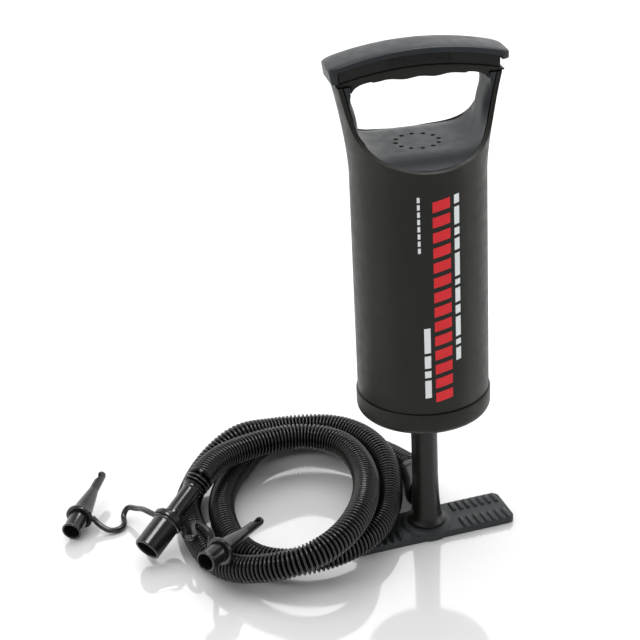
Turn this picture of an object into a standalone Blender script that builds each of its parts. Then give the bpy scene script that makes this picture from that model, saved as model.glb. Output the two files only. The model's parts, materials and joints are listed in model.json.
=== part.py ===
"""A double action hand pump: a barrel with a D handle that slides and turns on a fixed hollow rod,
a foot plate with two ridged pads, a corrugated hose laid in loose loops, and three hose nozzles.

Sizes are in millimetres, and MM turns them into Blender's metres. The rod is the Z axis, the floor is
z = 0, and the foot pads lie along X.
"""

import math

import bmesh
import bpy
import numpy as np
from mathutils import Matrix, Vector

MM = 0.001
CLEARANCE = 0.3                    # between pieces that touch or slide

# Barrel: the pose is part way up the stroke, turned a little on the rod.
BARREL_YAW = -6.0                  # degrees
BARREL_FOOT = 118.6                # lower end of the shell
BARREL_FOOT_RADIUS = 45.0
BARREL_NECK = 276.0                # where the handle starts to flare
BARREL_NECK_RADIUS = 44.6
BORE_RADIUS = 42.0
SKIN = 2.4                         # wall of the shell above the chamber
CEILING = 280.0                    # underside of the top cover
FLARE = 9.5                        # how far the handle flares by its top
HANDLE_TOP = 338.2                 # top of the uprights
SADDLE = 294.4                     # dish of the top cover, at its middle
SADDLE_DROP = 6.3                  # how far the dish falls at its front and back
SADDLE_FLAT = 21.0                 # the dish starts to fall this far from the middle
INTAKE_RING = 14.2
INTAKE_HOLES = 12

# Grip, built along one shallow arc over the uprights.
GRIP_ARC = 205.0
LIP = 347.2
BAND_TOP = 357.2
GRIP_UNDERSIDE = 340.2
GRIP_SCREW_X = 46.7

# End cap
CAP_FLOOR = 102.6
CAP_SEAM = 118.2
CAP_RADIUS = 46.0

# Rod, gland and piston
ROD_RADIUS = 9.2
ROD_BORE = 6.6
ROD_TOP = 209.0
FLANGE_RADIUS = 14.0
FLANGE_Z = 7.8
PISTON_FLOOR = 206.0
VALVE_RING = 22.0

# Foot
FOOT_HALF_LENGTH = 62.0
FOOT_HALF_WIDTH = 17.5
HUB_RADIUS = 19.0
PAD_THICKNESS = 5.2
RIDGE_FIRST = 24.0
RIDGE_PITCH = 5.5
RIDGE_COUNT = 7

# Hose port on the back of the rod's foot, and the cuff that is pushed on it
PORT_START = Vector((0.0, 0.0, 17.0))
PORT_DIRECTION = Vector((0.17, 0.983, -0.06)).normalized()
PORT_RADIUS = 7.4
PORT_BORE = 5.2
PORT_END = 31.0
CUFF_START = 20.0
CUFF_END = 54.7

# Hose: its route runs from the pump's cuff to the nozzle's cuff.
HOSE_RADIUS = 9.8
HOSE_POINT_SPACING = 18.0
HOSE_ROUTE = [
    (2.5, 89, 10.5), (-12, 114, 10.2), (-31, 135.5, 10.2), (-57.5, 146, 10.2), (-85.5, 139.5, 10.2),
    (-105.5, 119, 10.2), (-122.5, 95.5, 10.2), (-134, 70, 10.2), (-138.5, 41.5, 10.3),
    (-136.5, 13, 10.3), (-124, -12.5, 11.4), (-99.5, -27, 13.8), (-71, -27, 16.3),
    (-45.5, -14.5, 17.3), (-27, 7.5, 17.4), (-15.5, 34, 19.6), (-10, 61.5, 24.1),
    (-13.5, 90, 26.8), (-27.5, 114.5, 26.8), (-52, 129, 26.2), (-81, 130.5, 28.0),
    (-102, 126.5, 30.4), (-120.5, 120.5, 25.6), (-136, 111, 18.4), (-148.5, 96.5, 13.0),
    (-157.5, 78, 10.4), (-161, 58, 10.2),
    (-161, 37, 10.2), (-158.5, 10, 10.4), (-148.7, -15, 13.6), (-130.5, -35.5, 21.4),
    (-105, -46.5, 29.4), (-78, -40, 34.8), (-57.5, -20.5, 37.0), (-43.7, 4.7, 34.2),
    (-34.2, 31.5, 31.2), (-30.5, 60, 30.2), (-36, 87.5, 30.2), (-56.5, 106, 30.6),
    (-84.5, 107.8, 32.4), (-111, 100.5, 34.0), (-133, 85.5, 36.8),
]

# Nozzle end of the hose
NOZZLE_START = Vector((-155.5, 60.2, 35.0))
NOZZLE_DIRECTION = Vector((-44.3, -32.7, -22.6)).normalized()
NOZZLE_CUFF_LENGTH = 27.0
MAIN_NOZZLE_END = 58.0
COLLAR_AT = 31.0

SMALL_NOZZLE_LENGTH = 66.0
LEFT_NOZZLE = (Vector((-244.3, 78.5, 8.2)), Vector((34.5, 55.4, 9.8)).normalized())
RIGHT_NOZZLE = (Vector((-169.2, -30.7, 33.4)), Vector((50.8, 42.1, -4.6)).normalized())
TETHER_RADIUS = 1.8
TETHER_RING_AT = 16.6              # where the tether's ring sits on a small nozzle
LEFT_TETHER = [
    (-226.9, 88.3, 10.2), (-222, 82, 5.4), (-215, 77.5, 2.6), (-208, 79, 2.4),
    (-204.6, 85, 3.0), (-203.5, 91, 5.5), (-201, 92.5, 8.5), (-196.5, 86, 12.5),
    (-192.5, 74, 18.0), (-190.0, 63.5, 21.8), (-185.1, 52.1, 23.2),
]
RIGHT_TETHER = [
    (-171.0, 36.4, 18.8), (-169.8, 32.5, 19.5), (-171.2, 26, 20.0), (-170.6, 19.5, 21.6),
    (-166.8, 16.5, 23.0), (-165.0, 25, 23.8), (-161.5, 32.5, 24.0), (-157.5, 26, 24.0),
    (-156, 11, 25.2), (-159.8, -3, 29.0), (-162.4, -12.8, 32.2),
]

GREY = (0.085, 0.092, 0.095)
CHARCOAL = (0.035, 0.036, 0.035)
BLACK = (0.012, 0.012, 0.013)
RUBBER = (0.02, 0.02, 0.02)
STEEL = (0.55, 0.55, 0.56)
NYLON = (0.62, 0.60, 0.55)


def clear_scene():
    for old in list(bpy.data.objects):
        bpy.data.objects.remove(old)


def material(name, colour, roughness, metallic=0.0):
    finish = bpy.data.materials.get(name) or bpy.data.materials.new(name)
    finish.use_nodes = True
    shader = finish.node_tree.nodes["Principled BSDF"]
    shader.inputs["Base Color"].default_value = (*colour, 1.0)
    shader.inputs["Roughness"].default_value = roughness
    shader.inputs["Metallic"].default_value = metallic
    return finish


def add(name, data, finish=None):
    """Puts a mesh or a curve in the scene; a shape without a finish is a helper, which isn't rendered."""
    piece = bpy.data.objects.new(name, data)
    bpy.context.collection.objects.link(piece)
    if finish:
        data.materials.append(finish)
    else:
        piece.hide_render = True
        piece.display_type = "WIRE"
    return piece


def add_mesh(name, shape, finish=None, sharp_angle=35):
    bmesh.ops.remove_doubles(shape, verts=shape.verts, dist=1e-6)
    bmesh.ops.recalc_face_normals(shape, faces=shape.faces)
    mesh = bpy.data.meshes.new(name)
    shape.to_mesh(mesh)
    shape.free()
    mesh.shade_smooth()
    mesh.set_sharp_from_angle(angle=math.radians(sharp_angle))
    return add(name, mesh, finish)


def turned(name, outline, finish=None, steps=24):
    """Turns an outline of (radius, height) about Z. One that starts and ends on the axis is open there."""
    shape = bmesh.new()
    points = [shape.verts.new((r * MM, 0, z * MM)) for r, z in outline]
    on_axis = outline[0][0] == 0 and outline[-1][0] == 0
    pairs = zip(points, points[1:] if on_axis else points[1:] + points[:1])
    edges = [shape.edges.new(pair) for pair in pairs]
    bmesh.ops.spin(shape, geom=points + edges, cent=(0, 0, 0), axis=(0, 0, 1),
                   angle=2 * math.pi, steps=steps, use_merge=True)
    return add_mesh(name, shape, finish)


def ring(name, inner, outer, low, high, finish=None, steps=24):
    return turned(name, [(outer, high), (outer, low), (inner, low), (inner, high)], finish, steps)


def lofted(name, sections, finish=None):
    """Joins closed sections with the same number of points, and closes both ends."""
    shape = bmesh.new()
    loops = [[shape.verts.new(Vector(point) * MM) for point in section] for section in sections]
    count = len(loops[0])
    for near, far in zip(loops, loops[1:]):
        for i in range(count):
            j = (i + 1) % count
            shape.faces.new((near[i], near[j], far[j], far[i]))
    shape.faces.new(loops[0])
    shape.faces.new(loops[-1])
    return add_mesh(name, shape, finish)


def pegs(name, places, radius, low, high, sides=8):
    """A cutter of upright pegs at (x, y) places."""
    shape = bmesh.new()
    for x, y in places:
        middle = Matrix.Translation(Vector((x, y, (low + high) / 2)) * MM)
        bmesh.ops.create_cone(shape, cap_ends=True, segments=sides, radius1=radius * MM,
                              radius2=radius * MM, depth=(high - low) * MM, matrix=middle)
    return add_mesh(name, shape)


def round_places(count, radius, turn=0.0):
    angles = [turn + 2 * math.pi * i / count for i in range(count)]
    return [(radius * math.cos(a), radius * math.sin(a)) for a in angles]


def combine(piece, other, operation="DIFFERENCE"):
    step = piece.modifiers.new(operation.title() + " " + other.name, "BOOLEAN")
    step.operation = operation
    step.object = other


def aim(piece, start, direction):
    """Lays a piece that was turned about Z along a direction, with its own z = 0 at start."""
    turn = direction.to_track_quat("Z", "Y").to_matrix().to_4x4()
    piece.matrix_world = Matrix.Translation(start * MM) @ turn
    return piece


def smooth_route(route, spacing):
    """Points about spacing apart on the natural cubic curve through the route's points."""
    points = np.array(route, float)
    steps = np.linalg.norm(np.diff(points, axis=0), axis=1)
    knots = np.concatenate([[0.0], np.cumsum(steps)])
    count = len(points)
    system = np.eye(count)
    target = np.zeros((count, 3))
    slopes = np.diff(points, axis=0) / steps[:, None]
    for i in range(1, count - 1):
        system[i, i - 1:i + 2] = steps[i - 1], 2 * (steps[i - 1] + steps[i]), steps[i]
        target[i] = 6 * (slopes[i] - slopes[i - 1])
    bends = np.linalg.solve(system, target)
    places = np.linspace(0, knots[-1], max(2, round(knots[-1] / spacing) + 1))
    spans = np.clip(np.searchsorted(knots, places, side="right") - 1, 0, count - 2)
    along = (places - knots[spans])[:, None]
    left = (knots[spans + 1] - places)[:, None]
    width = steps[spans][:, None]
    ends = (bends[spans] * left**3 + bends[spans + 1] * along**3) / (6 * width)
    lines = (points[spans] / width - bends[spans] * width / 6) * left
    lines += (points[spans + 1] / width - bends[spans + 1] * width / 6) * along
    return [Vector(point) for point in ends + lines]


def swept(name, path, radius, sides=6, finish=None):
    """A round strap along a path, as a mesh."""
    sections = []
    side = Vector((0, 0, 1))
    for i, point in enumerate(path):
        ahead = (path[min(i + 1, len(path) - 1)] - path[max(i - 1, 0)]).normalized()
        side = (side - ahead * side.dot(ahead)).normalized()
        across = ahead.cross(side)
        angles = [2 * math.pi * k / sides for k in range(sides)]
        sections.append([point + radius * (side * math.cos(a) + across * math.sin(a)) for a in angles])
    return lofted(name, sections, finish)


# ---------------------------------------------------------------- foot, rod and port

def make_foot(finish):
    """The foot plate: two pads with two rows of ridges each, and a low round hub in the middle."""
    corner = 5.0
    outline = []
    for sx, sy, start in ((1, 1, 0), (-1, 1, 90), (-1, -1, 180), (1, -1, 270)):
        for i in range(5):
            a = math.radians(start + 22.5 * i)
            x = sx * (FOOT_HALF_LENGTH - corner) + corner * math.cos(a)
            outline.append((x, sy * (FOOT_HALF_WIDTH - corner) + corner * math.sin(a)))
    foot = lofted("foot_base", [[(x, y, z) for x, y in outline] for z in (0, PAD_THICKNESS)], finish)
    bevel = foot.modifiers.new("Rounded edge", "BEVEL")
    bevel.width = 1.0 * MM
    bevel.segments = 1
    bevel.limit_method = "ANGLE"
    top = FLANGE_Z - CLEARANCE
    hub = turned("hub", [(0, 0.4), (HUB_RADIUS, 0.4), (HUB_RADIUS, 3.2), (HUB_RADIUS - 1.5, 5.2),
                         (15.6, top), (0, top)], steps=24)
    combine(foot, hub, "UNION")
    ridges = bmesh.new()
    for end in (-1, 1):
        for row, length in ((-11.2, 12.6), (10.2, 11.0)):
            for i in range(RIDGE_COUNT):
                x = end * (RIDGE_FIRST + i * RIDGE_PITCH)
                place = Matrix.Translation(Vector((x, row, PAD_THICKNESS + 0.2)) * MM)
                size = Matrix.Diagonal((2.8 * MM, length * MM, 2.6 * MM, 1))
                bmesh.ops.create_cube(ridges, size=1, matrix=place @ size)
    combine(foot, add_mesh("ridges", ridges), "UNION")
    combine(foot, pegs("foot_screw_holes", round_places(4, 11.0, math.pi / 4), 1.9, -1, 12))
    combine(foot, pegs("foot_screw_seats", round_places(4, 11.0, math.pi / 4), 3.9, -1, 2.6, sides=14))


def make_rod(finish):
    """The fixed hollow rod, with its flange on the foot, a flared root and the hose port at the back."""
    rod = turned("column_tube", [
        (0, FLANGE_Z), (FLANGE_RADIUS - 0.6, FLANGE_Z), (FLANGE_RADIUS, FLANGE_Z + 0.6),
        (FLANGE_RADIUS, FLANGE_Z + 1.4), (FLANGE_RADIUS - 0.8, FLANGE_Z + 2.2), (11.6, 11.4),
        (10.7, 13.5), (10.3, 17.0), (9.6, 32.0), (ROD_RADIUS, 42.0), (ROD_RADIUS, ROD_TOP),
        (0, ROD_TOP)], finish)
    port = turned("port_outside", [(0, 0), (PORT_RADIUS, 0), (PORT_RADIUS, PORT_END - 0.8),
                                   (PORT_RADIUS - 0.8, PORT_END), (0, PORT_END)], steps=20)
    combine(rod, aim(port, PORT_START, PORT_DIRECTION), "UNION")
    combine(rod, turned("rod_bore", [(0, 11.5), (ROD_BORE, 11.5), (ROD_BORE, ROD_TOP + 1),
                                     (0, ROD_TOP + 1)], steps=20))
    bore = turned("port_bore", [(0, 1), (PORT_BORE, 1), (PORT_BORE, PORT_END + 1), (0, PORT_END + 1)],
                  steps=14)
    combine(rod, aim(bore, PORT_START, PORT_DIRECTION))
    combine(rod, pegs("rod_screw_holes", round_places(4, 11.0, math.pi / 4), 1.6, 5, 10.2))


def make_screw(name, x, y, head_z, up, length, finish, head=3.3, shaft=1.25):
    """A slotted screw whose shaft points up (1) or down (-1) from under its head at head_z."""
    outline = [(0, -1.7), (head * 0.7, -1.6), (head, -0.6), (head, 0), (shaft, 0), (shaft, length),
               (0, length)]
    screw = turned(name, [(r, z * up) for r, z in outline], finish, steps=10)
    bar = [(-0.35, -2.2), (0.35, -2.2), (0.35, -1.1), (-0.35, -1.1)]
    slot = lofted(name + "_slot", [[(end, side, z * up) for side, z in bar] for end in (-5, 5)])
    combine(screw, slot)
    slot.parent = screw
    screw.location = Vector((x, y, head_z)) * MM
    return screw


# ---------------------------------------------------------------- piston and its valves

def make_piston(plastic, rubber, steel):
    """Two plates on the rod's top with a plenum between them: air enters by either and leaves by the rod."""
    wall_top = PISTON_FLOOR + 8.7
    lower = turned("piston_lower_plate", [
        (41.2, 208.2), (41.2, PISTON_FLOOR), (9.6, PISTON_FLOOR), (9.6, ROD_TOP + 0.4), (7.2, ROD_TOP + 0.4),
        (7.2, 212.0), (11.6, 212.0), (11.6, 209.4), (37.2, 209.4), (37.2, wall_top), (39.6, wall_top),
        (39.6, 208.2)], plastic, steps=24)
    posts = pegs("piston_posts", round_places(3, 34.5), 3.0, 208.5, wall_top, sides=8)
    combine(lower, posts, "UNION")
    combine(lower, pegs("lower_ports", round_places(8, VALVE_RING), 2.1, 200, 211, sides=6))
    combine(lower, pegs("post_holes", round_places(3, 34.5), 1.5, 210.5, 216, sides=8))
    upper_floor = wall_top + CLEARANCE
    upper = turned("piston_upper_plate", [
        (0, upper_floor - 1.8), (4.0, upper_floor - 1.8), (4.0, upper_floor), (39.9, upper_floor),
        (41.2, upper_floor + 1.2), (41.2, 218.5), (0, 218.5)], plastic, steps=24)
    combine(upper, pegs("upper_ports", round_places(8, VALVE_RING), 2.1, 214, 220, sides=6))
    combine(upper, pegs("upper_screw_holes", round_places(3, 34.5), 1.6, 214, 220, sides=8))
    turned("piston_seal", [
        (41.55, 214.8), (41.2, 213.5), (41.2, 210.5), (41.55, 208.8), (41.0, 208.6), (39.95, 208.6),
        (39.95, 214.7), (41.0, 214.9)], rubber, steps=28)
    for index, (x, y) in enumerate(round_places(3, 34.5), 1):
        make_screw(f"piston_screw_{index}", x, y, 218.8, -1, 7.0, steel, head=2.6, shaft=1.1)
    ring("lower_delivery_flap", 12.0, 30.5, 209.7, 210.8, rubber)
    ring("upper_delivery_flap", 4.4, 30.5, upper_floor - 1.5, upper_floor - 0.3, rubber)


# ---------------------------------------------------------------- barrel, handle and end cap

def barrel_radius(z):
    """Outer radius of the shell: a slight moulding draft, then the handle's flare."""
    if z < BARREL_NECK:
        share = (z - BARREL_FOOT) / (BARREL_NECK - BARREL_FOOT)
        return BARREL_FOOT_RADIUS + (BARREL_NECK_RADIUS - BARREL_FOOT_RADIUS) * share
    return BARREL_NECK_RADIUS + FLARE * ((z - BARREL_NECK) / (HANDLE_TOP - BARREL_NECK)) ** 1.5


def side_outline(top, grow=0.0):
    """The handle seen from its end, as (y, z): the saddle's rim and the front edges of an upright."""
    half = [(48, 287.6), (45, 288.4), (42, 290.2), (36, 293.2), (30, 296.8), (24, 301.6), (18.5, 308.0),
            (15.2, 315.0), (13.6, 323.0), (13.0, top)]
    half = [(y + grow, z) for y, z in half]
    other = [(-y, z) for y, z in reversed(half)]
    return [(60, 100), (60, 287.6)] + half + other + [(-60, 287.6), (-60, 100)]


def make_side_cutter(name, top, grow=0.0):
    return lofted(name, [[(x, y, z) for y, z in side_outline(top, grow)] for x in (-70, 70)])


def make_opening():
    """The space under the grip: its floor is the dish of the top cover, which falls to front and back."""
    half = [(14, SADDLE), (23, SADDLE + 0.2), (30, SADDLE + 1.3), (35.4, SADDLE + 4.2), (38.4, SADDLE + 8.6),
            (39.8, 308.5), (40.4, 314.0), (42.0, 322.0), (44.2, 330.0), (44.7, 345.0)]
    outline = [(-x, z) for x, z in reversed(half)] + half
    sections = []
    for i in range(9):
        y = -54 + 13.5 * i
        drop = SADDLE_DROP * (max(0.0, abs(y) - SADDLE_FLAT) / (45 - SADDLE_FLAT)) ** 2
        sections.append([(x, y, z - drop * max(0.0, min(1.0, (309 - z) / 12))) for x, z in outline])
    return lofted("handle_opening", sections)


def make_shell(finish):
    heights = [BARREL_NECK + (HANDLE_TOP + 1 - BARREL_NECK) * i / 7 for i in range(8)]
    outside = [(barrel_radius(z), z) for z in reversed(heights)] + [(BARREL_FOOT_RADIUS, BARREL_FOOT)]
    inside = [(BORE_RADIUS, BARREL_FOOT), (BORE_RADIUS, BARREL_NECK)]
    inside += [(barrel_radius(z) - SKIN, z) for z in heights[1:]]
    shell = turned("barrel_shell", outside + inside, finish, steps=32)
    combine(shell, make_side_cutter("shell_rim", HANDLE_TOP), "INTERSECT")
    return shell


def make_top_cover(finish):
    """The dish under the grip with the inner halves of the two uprights."""
    heights = [BARREL_NECK + (HANDLE_TOP + 1 - BARREL_NECK) * i / 7 for i in range(1, 8)]
    gap = SKIN + CLEARANCE
    outside = [(barrel_radius(z) - gap, z) for z in reversed(heights)]
    outside[-1] = (BORE_RADIUS - CLEARANCE, heights[0])
    cover = turned("top_cover", [(0, heights[-1])] + outside + [
        (41.7, 282.4), (40.2, 282.4), (40.2, 280.9), (41.7, 280.9), (41.7, CEILING),
        (26.0, CEILING), (26.0, 290.2), (0, 290.2)], finish, steps=32)
    combine(cover, make_side_cutter("cover_rim", HANDLE_TOP, grow=-0.4), "INTERSECT")
    combine(cover, make_opening())
    holes = pegs("intake_holes", round_places(INTAKE_HOLES, INTAKE_RING), 1.6, 285, 300, sides=8)
    combine(cover, holes)
    combine(cover, pegs("valve_pin_hole", [(0, 0)], 2.3, 285, 292.4, sides=12))
    return cover


def arc_height(x, middle):
    return middle - (GRIP_ARC - math.sqrt(GRIP_ARC**2 - x**2))


def underside(x):
    """Underside of the grip: finger waves in the middle, rounded corners at the uprights."""
    reach = abs(x) - 30
    if abs(x) > 43.9:
        return HANDLE_TOP + CLEARANCE
    if reach > 0:
        return 332.6 + 7.2 * math.sqrt(max(0.0, 1 - (reach / 14.0) ** 2))
    return GRIP_UNDERSIDE - 0.4 + 0.5 * math.cos(math.pi * x / 10)


def make_grip(plastic, dark):
    places = [-54, -50, -44, -43.8, -42.6, -40.5, -37, -33.5, -30]
    places += [-25, -20, -15, -10, -5, 0] + [5, 10, 15, 20, 25] + [-x for x in reversed(places)]
    sections = []
    for x in places:
        low, high = underside(x), arc_height(x, LIP)
        sections.append([(x, -13.0, high - 0.3), (x, -12.4, high), (x, 12.4, high), (x, 13.0, high - 0.3),
                         (x, 12.2, low + 0.7), (x, 11.0, low), (x, -11.0, low), (x, -12.2, low + 0.7)])
    grip = lofted("grip_lower", sections, plastic)
    sections = []
    for i in range(13):
        x = -51.6 + 8.6 * i
        low, high = arc_height(x, LIP) + CLEARANCE, arc_height(x, BAND_TOP) - CLEARANCE
        sections.append([(x, -11.6, low), (x, -11.9, high), (x, 11.9, high), (x, 11.6, low)])
    band = lofted("grip_band", sections, dark)
    sections = []
    for x in (-57.4, -56.6, -54.6, -50, -40, -30, -20, -10, 0, 10, 20, 30, 40, 50, 54.6, 56.6, 57.4):
        round_end = math.sqrt(max(0.0, 1 - (max(0.0, abs(x) - 50) / 7.9) ** 2))
        half = 14.2 * (0.35 + 0.65 * round_end)
        low = arc_height(x, BAND_TOP)
        rise = 0.6 + 0.4 * round_end
        crown = [(1.0, 0.5), (0.96, 1.7), (0.78, 2.6), (0.42, 3.3), (0, 3.5)]
        upper = [(half * w, h) for w, h in crown] + [(-half * w, h) for w, h in reversed(crown[:-1])]
        outline = [(half * 0.96, 0.0)] + upper + [(-half * 0.96, 0.0)]
        sections.append([(x, y, low + h * rise) for y, h in outline])
    cover = lofted("grip_cover", sections, plastic)
    return grip, band, cover


def fasten_grip(grip, cover, steel):
    """Two screws hold the lower grip down on the linings of the uprights, and the band covers them."""
    places = [(-GRIP_SCREW_X, 0), (GRIP_SCREW_X, 0)]
    combine(grip, pegs("grip_screw_seats", places, 2.3, 339.7, 345))
    combine(grip, pegs("grip_screw_holes", places, 1.3, 330, 340.5))
    combine(cover, pegs("cover_screw_holes", places, 1.25, 329.0, 340))
    return [make_screw(f"grip_screw_{index}", x, 0, 340.0, -1, 10.5, steel, head=1.9, shaft=0.9)
            for index, (x, y) in enumerate(places, 1)]


def make_end_cap(plastic, nylon, rubber):
    """The cap that closes the barrel's foot, with the gland for the rod and the lower intake holes."""
    floor = CAP_FLOOR
    cap = turned("end_cap", [
        (CAP_RADIUS - 0.5, CAP_SEAM), (CAP_RADIUS, CAP_SEAM - 0.6), (CAP_RADIUS, floor + 6.0),
        (CAP_RADIUS - 0.8, floor + 3.2), (CAP_RADIUS - 2.4, floor + 1.1), (CAP_RADIUS - 4.6, floor),
        (9.6, floor), (9.6, floor + 0.9), (12.6, floor + 0.9), (12.6, 118.4), (15.8, 118.4),
        (15.8, floor + 3.4), (39.6, floor + 3.4), (39.6, 121.0), (41.7, 121.0), (41.7, 120.5),
        (40.4, 120.5), (40.4, 118.9), (41.7, 118.9), (41.7, CAP_SEAM)], plastic, steps=32)
    combine(cap, pegs("lower_intake_holes", round_places(10, 27.0), 2.0, floor - 1, floor + 4, sides=6))
    ring("cap_seal_ring", 40.7, 41.8, 119.2, 120.2, rubber, steps=32)
    ring("rod_guide_bush", ROD_RADIUS + 0.4, 12.3, floor + 1.2, 112.0, nylon)
    retainer = turned("gland_retainer", [
        (15.6, 118.7), (9.7, 118.7), (9.7, 120.4), (14.8, 120.4), (15.6, 119.9)], nylon)
    guard = turned("bottom_valve_guard", [
        (39.2, 111.6), (39.2, floor + 3.7), (36.8, floor + 3.7), (36.8, 110.2), (16.1, 110.2),
        (16.1, 111.6)], nylon)
    combine(guard, pegs("guard_holes", round_places(10, 27.0, math.pi / 10), 3.0, 109, 113, sides=6))
    return [cap, retainer, guard]


# ---------------------------------------------------------------- hose, cuffs and nozzles

def make_hose(finish):
    start = PORT_START + PORT_DIRECTION * (CUFF_END + CLEARANCE)
    end = NOZZLE_START - NOZZLE_DIRECTION * CLEARANCE
    straight = 8.0
    route = [start + PORT_DIRECTION * straight, *HOSE_ROUTE, end - NOZZLE_DIRECTION * straight]
    centre = [start, *smooth_route(route, HOSE_POINT_SPACING), end]
    curve = bpy.data.curves.new("hose_tube", "CURVE")
    curve.dimensions = "3D"
    curve.bevel_depth = HOSE_RADIUS * MM
    curve.bevel_resolution = 2
    curve.use_fill_caps = True
    line = curve.splines.new("POLY")
    line.points.add(len(centre) - 1)
    for spot, point in zip(line.points, centre):
        spot.co = (*(point * MM), 1.0)
    add("hose_tube", curve, finish)


def make_cuffs(finish, rubber):
    far = CUFF_END - CUFF_START
    cuff = turned("pump_end_cuff", [
        (10.4, 0), (11.0, 0.8), (11.0, 7.0), (10.4, 9.0), (10.4, far - 8.0), (11.2, far - 6.0),
        (11.2, far - 0.8), (10.6, far), (5.6, far), (5.6, 12.4), (PORT_RADIUS + 0.4, 11.4),
        (PORT_RADIUS + 0.4, 6.0), (8.9, 6.0), (8.9, 4.0), (PORT_RADIUS + 0.4, 4.0), (PORT_RADIUS + 0.4, 0)],
        finish, steps=24)
    aim(cuff, PORT_START + PORT_DIRECTION * CUFF_START, PORT_DIRECTION)
    seal = ring("port_seal_ring", PORT_RADIUS + 0.2, 8.6, 4.3, 5.7, rubber, steps=24)
    aim(seal, PORT_START + PORT_DIRECTION * CUFF_START, PORT_DIRECTION)
    length = NOZZLE_CUFF_LENGTH
    near = turned("nozzle_end_cuff", [
        (8.4, 0), (8.8, 0.5), (8.6, 3.2), (6.9, 4.4), (6.6, 6.0), (6.6, length - 3), (7.2, length - 0.8),
        (7.0, length), (4.6, length), (4.6, 0)], finish, steps=24)
    aim(near, NOZZLE_START, NOZZLE_DIRECTION)


def make_nozzles(finish):
    reach = MAIN_NOZZLE_END
    base = NOZZLE_CUFF_LENGTH + CLEARANCE
    main = turned("main_nozzle", [
        (7.4, base), (10.5, base + 0.7), (10.6, base + 1.8), (10.0, base + 2.1), (10.0, COLLAR_AT + 1.8),
        (10.9, COLLAR_AT + 1.9), (10.9, COLLAR_AT + 3.2), (9.9, COLLAR_AT + 3.9), (9.9, reach - 0.6),
        (9.5, reach), (8.3, reach), (8.0, reach - 0.8), (8.0, base + 9.0), (4.7, base + 5.0), (4.7, base)],
        finish, steps=24)
    aim(main, NOZZLE_START, NOZZLE_DIRECTION)
    places = {"small_nozzle_left": LEFT_NOZZLE, "small_nozzle_right": RIGHT_NOZZLE}
    for name, (start, direction) in places.items():
        end = SMALL_NOZZLE_LENGTH
        nozzle = turned(name, [
            (7.2, 0), (7.4, 0.6), (6.9, 2.0), (6.9, TETHER_RING_AT + 1.6), (8.4, TETHER_RING_AT + 1.7),
            (8.4, TETHER_RING_AT + 3.0), (7.4, TETHER_RING_AT + 3.6), (6.6, 26.0), (3.9, 44.0), (3.3, 48.0),
            (2.9, end), (1.5, end), (1.5, 16.0), (5.6, 13.0), (5.9, 0)], finish, steps=16)
        wedge = lofted(name + "_tip_cut",
                       [[(x, -8, end - 5), (x, 8, end + 6), (x, -8, end + 6)] for x in (-8, 8)])
        combine(nozzle, wedge)
        wedge.parent = nozzle
        aim(nozzle, start, direction)


def make_tether(finish):
    """One soft strap: a collar on the main nozzle, and a curled tail to a ring on each small nozzle."""
    collar = ring("tether_strap", 10.3, 11.8, COLLAR_AT - 1.4, COLLAR_AT + 1.5, finish, steps=24)
    aim(collar, NOZZLE_START, NOZZLE_DIRECTION)
    for name, route in (("left_tail", LEFT_TETHER), ("right_tail", RIGHT_TETHER)):
        combine(collar, swept(name, smooth_route(route, 4.4), TETHER_RADIUS), "UNION")
    for name, (start, direction) in (("left_loop", LEFT_NOZZLE), ("right_loop", RIGHT_NOZZLE)):
        loop = ring(name, 7.3, 10.0, TETHER_RING_AT - 1.4, TETHER_RING_AT + 1.4, steps=20)
        combine(collar, aim(loop, start, direction), "UNION")


def main():
    clear_scene()
    shell_plastic = material("charcoal_plastic", CHARCOAL, 0.42)
    cover_plastic = material("grey_plastic", GREY, 0.45)
    band_plastic = material("dark_grip_plastic", BLACK, 0.6)
    foot_plastic = material("foot_plastic", GREY, 0.5)
    hose_plastic = material("gloss_black_vinyl", BLACK, 0.22)
    rubber = material("black_rubber", RUBBER, 0.75)
    nylon = material("natural_nylon", NYLON, 0.5)
    steel = material("zinc_steel", STEEL, 0.35, 1.0)

    make_foot(foot_plastic)
    make_rod(shell_plastic)
    for index, (x, y) in enumerate(round_places(4, 11.0, math.pi / 4), 1):
        make_screw(f"base_screw_{index}", x, y, 2.3, 1, 7.4, steel)
    make_piston(nylon, rubber, steel)

    cover = make_top_cover(cover_plastic)
    grip, band, grip_top = make_grip(cover_plastic, band_plastic)
    turning = [make_shell(shell_plastic), cover, grip, band, grip_top, *fasten_grip(grip, cover, steel)]
    turning += make_end_cap(shell_plastic, nylon, rubber)
    ring("top_cover_seal", 40.5, 41.85, 281.2, 282.1, rubber, steps=32)
    turned("top_valve_pin", [
        (0, 285.4), (5.0, 285.6), (5.2, 286.2), (5.2, 286.9), (2.0, 286.9), (2.0, 292.0),
        (0, 292.0)], nylon, steps=20)
    ring("top_intake_flap", 2.5, 19.0, 288.8, 289.9, rubber)
    ring("bottom_intake_flap", 16.3, 34.0, CAP_FLOOR + 3.7, CAP_FLOOR + 4.9, rubber)
    ring("rod_seal", ROD_RADIUS + 0.3, 12.3, 112.4, 118.2, rubber)

    make_hose(hose_plastic)
    make_cuffs(hose_plastic, rubber)
    make_nozzles(hose_plastic)
    make_tether(hose_plastic)

    barrel_axis = bpy.data.objects.new("barrel_axis", None)
    bpy.context.collection.objects.link(barrel_axis)
    for piece in turning:
        piece.parent = barrel_axis
        for step in piece.modifiers:
            if not step.object.parent:
                step.object.parent = barrel_axis
    barrel_axis.rotation_euler.z = math.radians(BARREL_YAW)


main()
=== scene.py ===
"""Looks of the double action hand pump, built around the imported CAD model.

Lengths in this file are in millimetres, and MM turns them into metres. Z is the rod, the floor is z = 0,
and the foot's two pads lie along X. The outer CAD solids are replaced by finer meshes of the same main
sizes, and the seals, valves, piston and screws keep their CAD shape and get a detailed material.
"""

import json
import math

import bmesh
import bpy
from mathutils import Matrix, Vector


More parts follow.
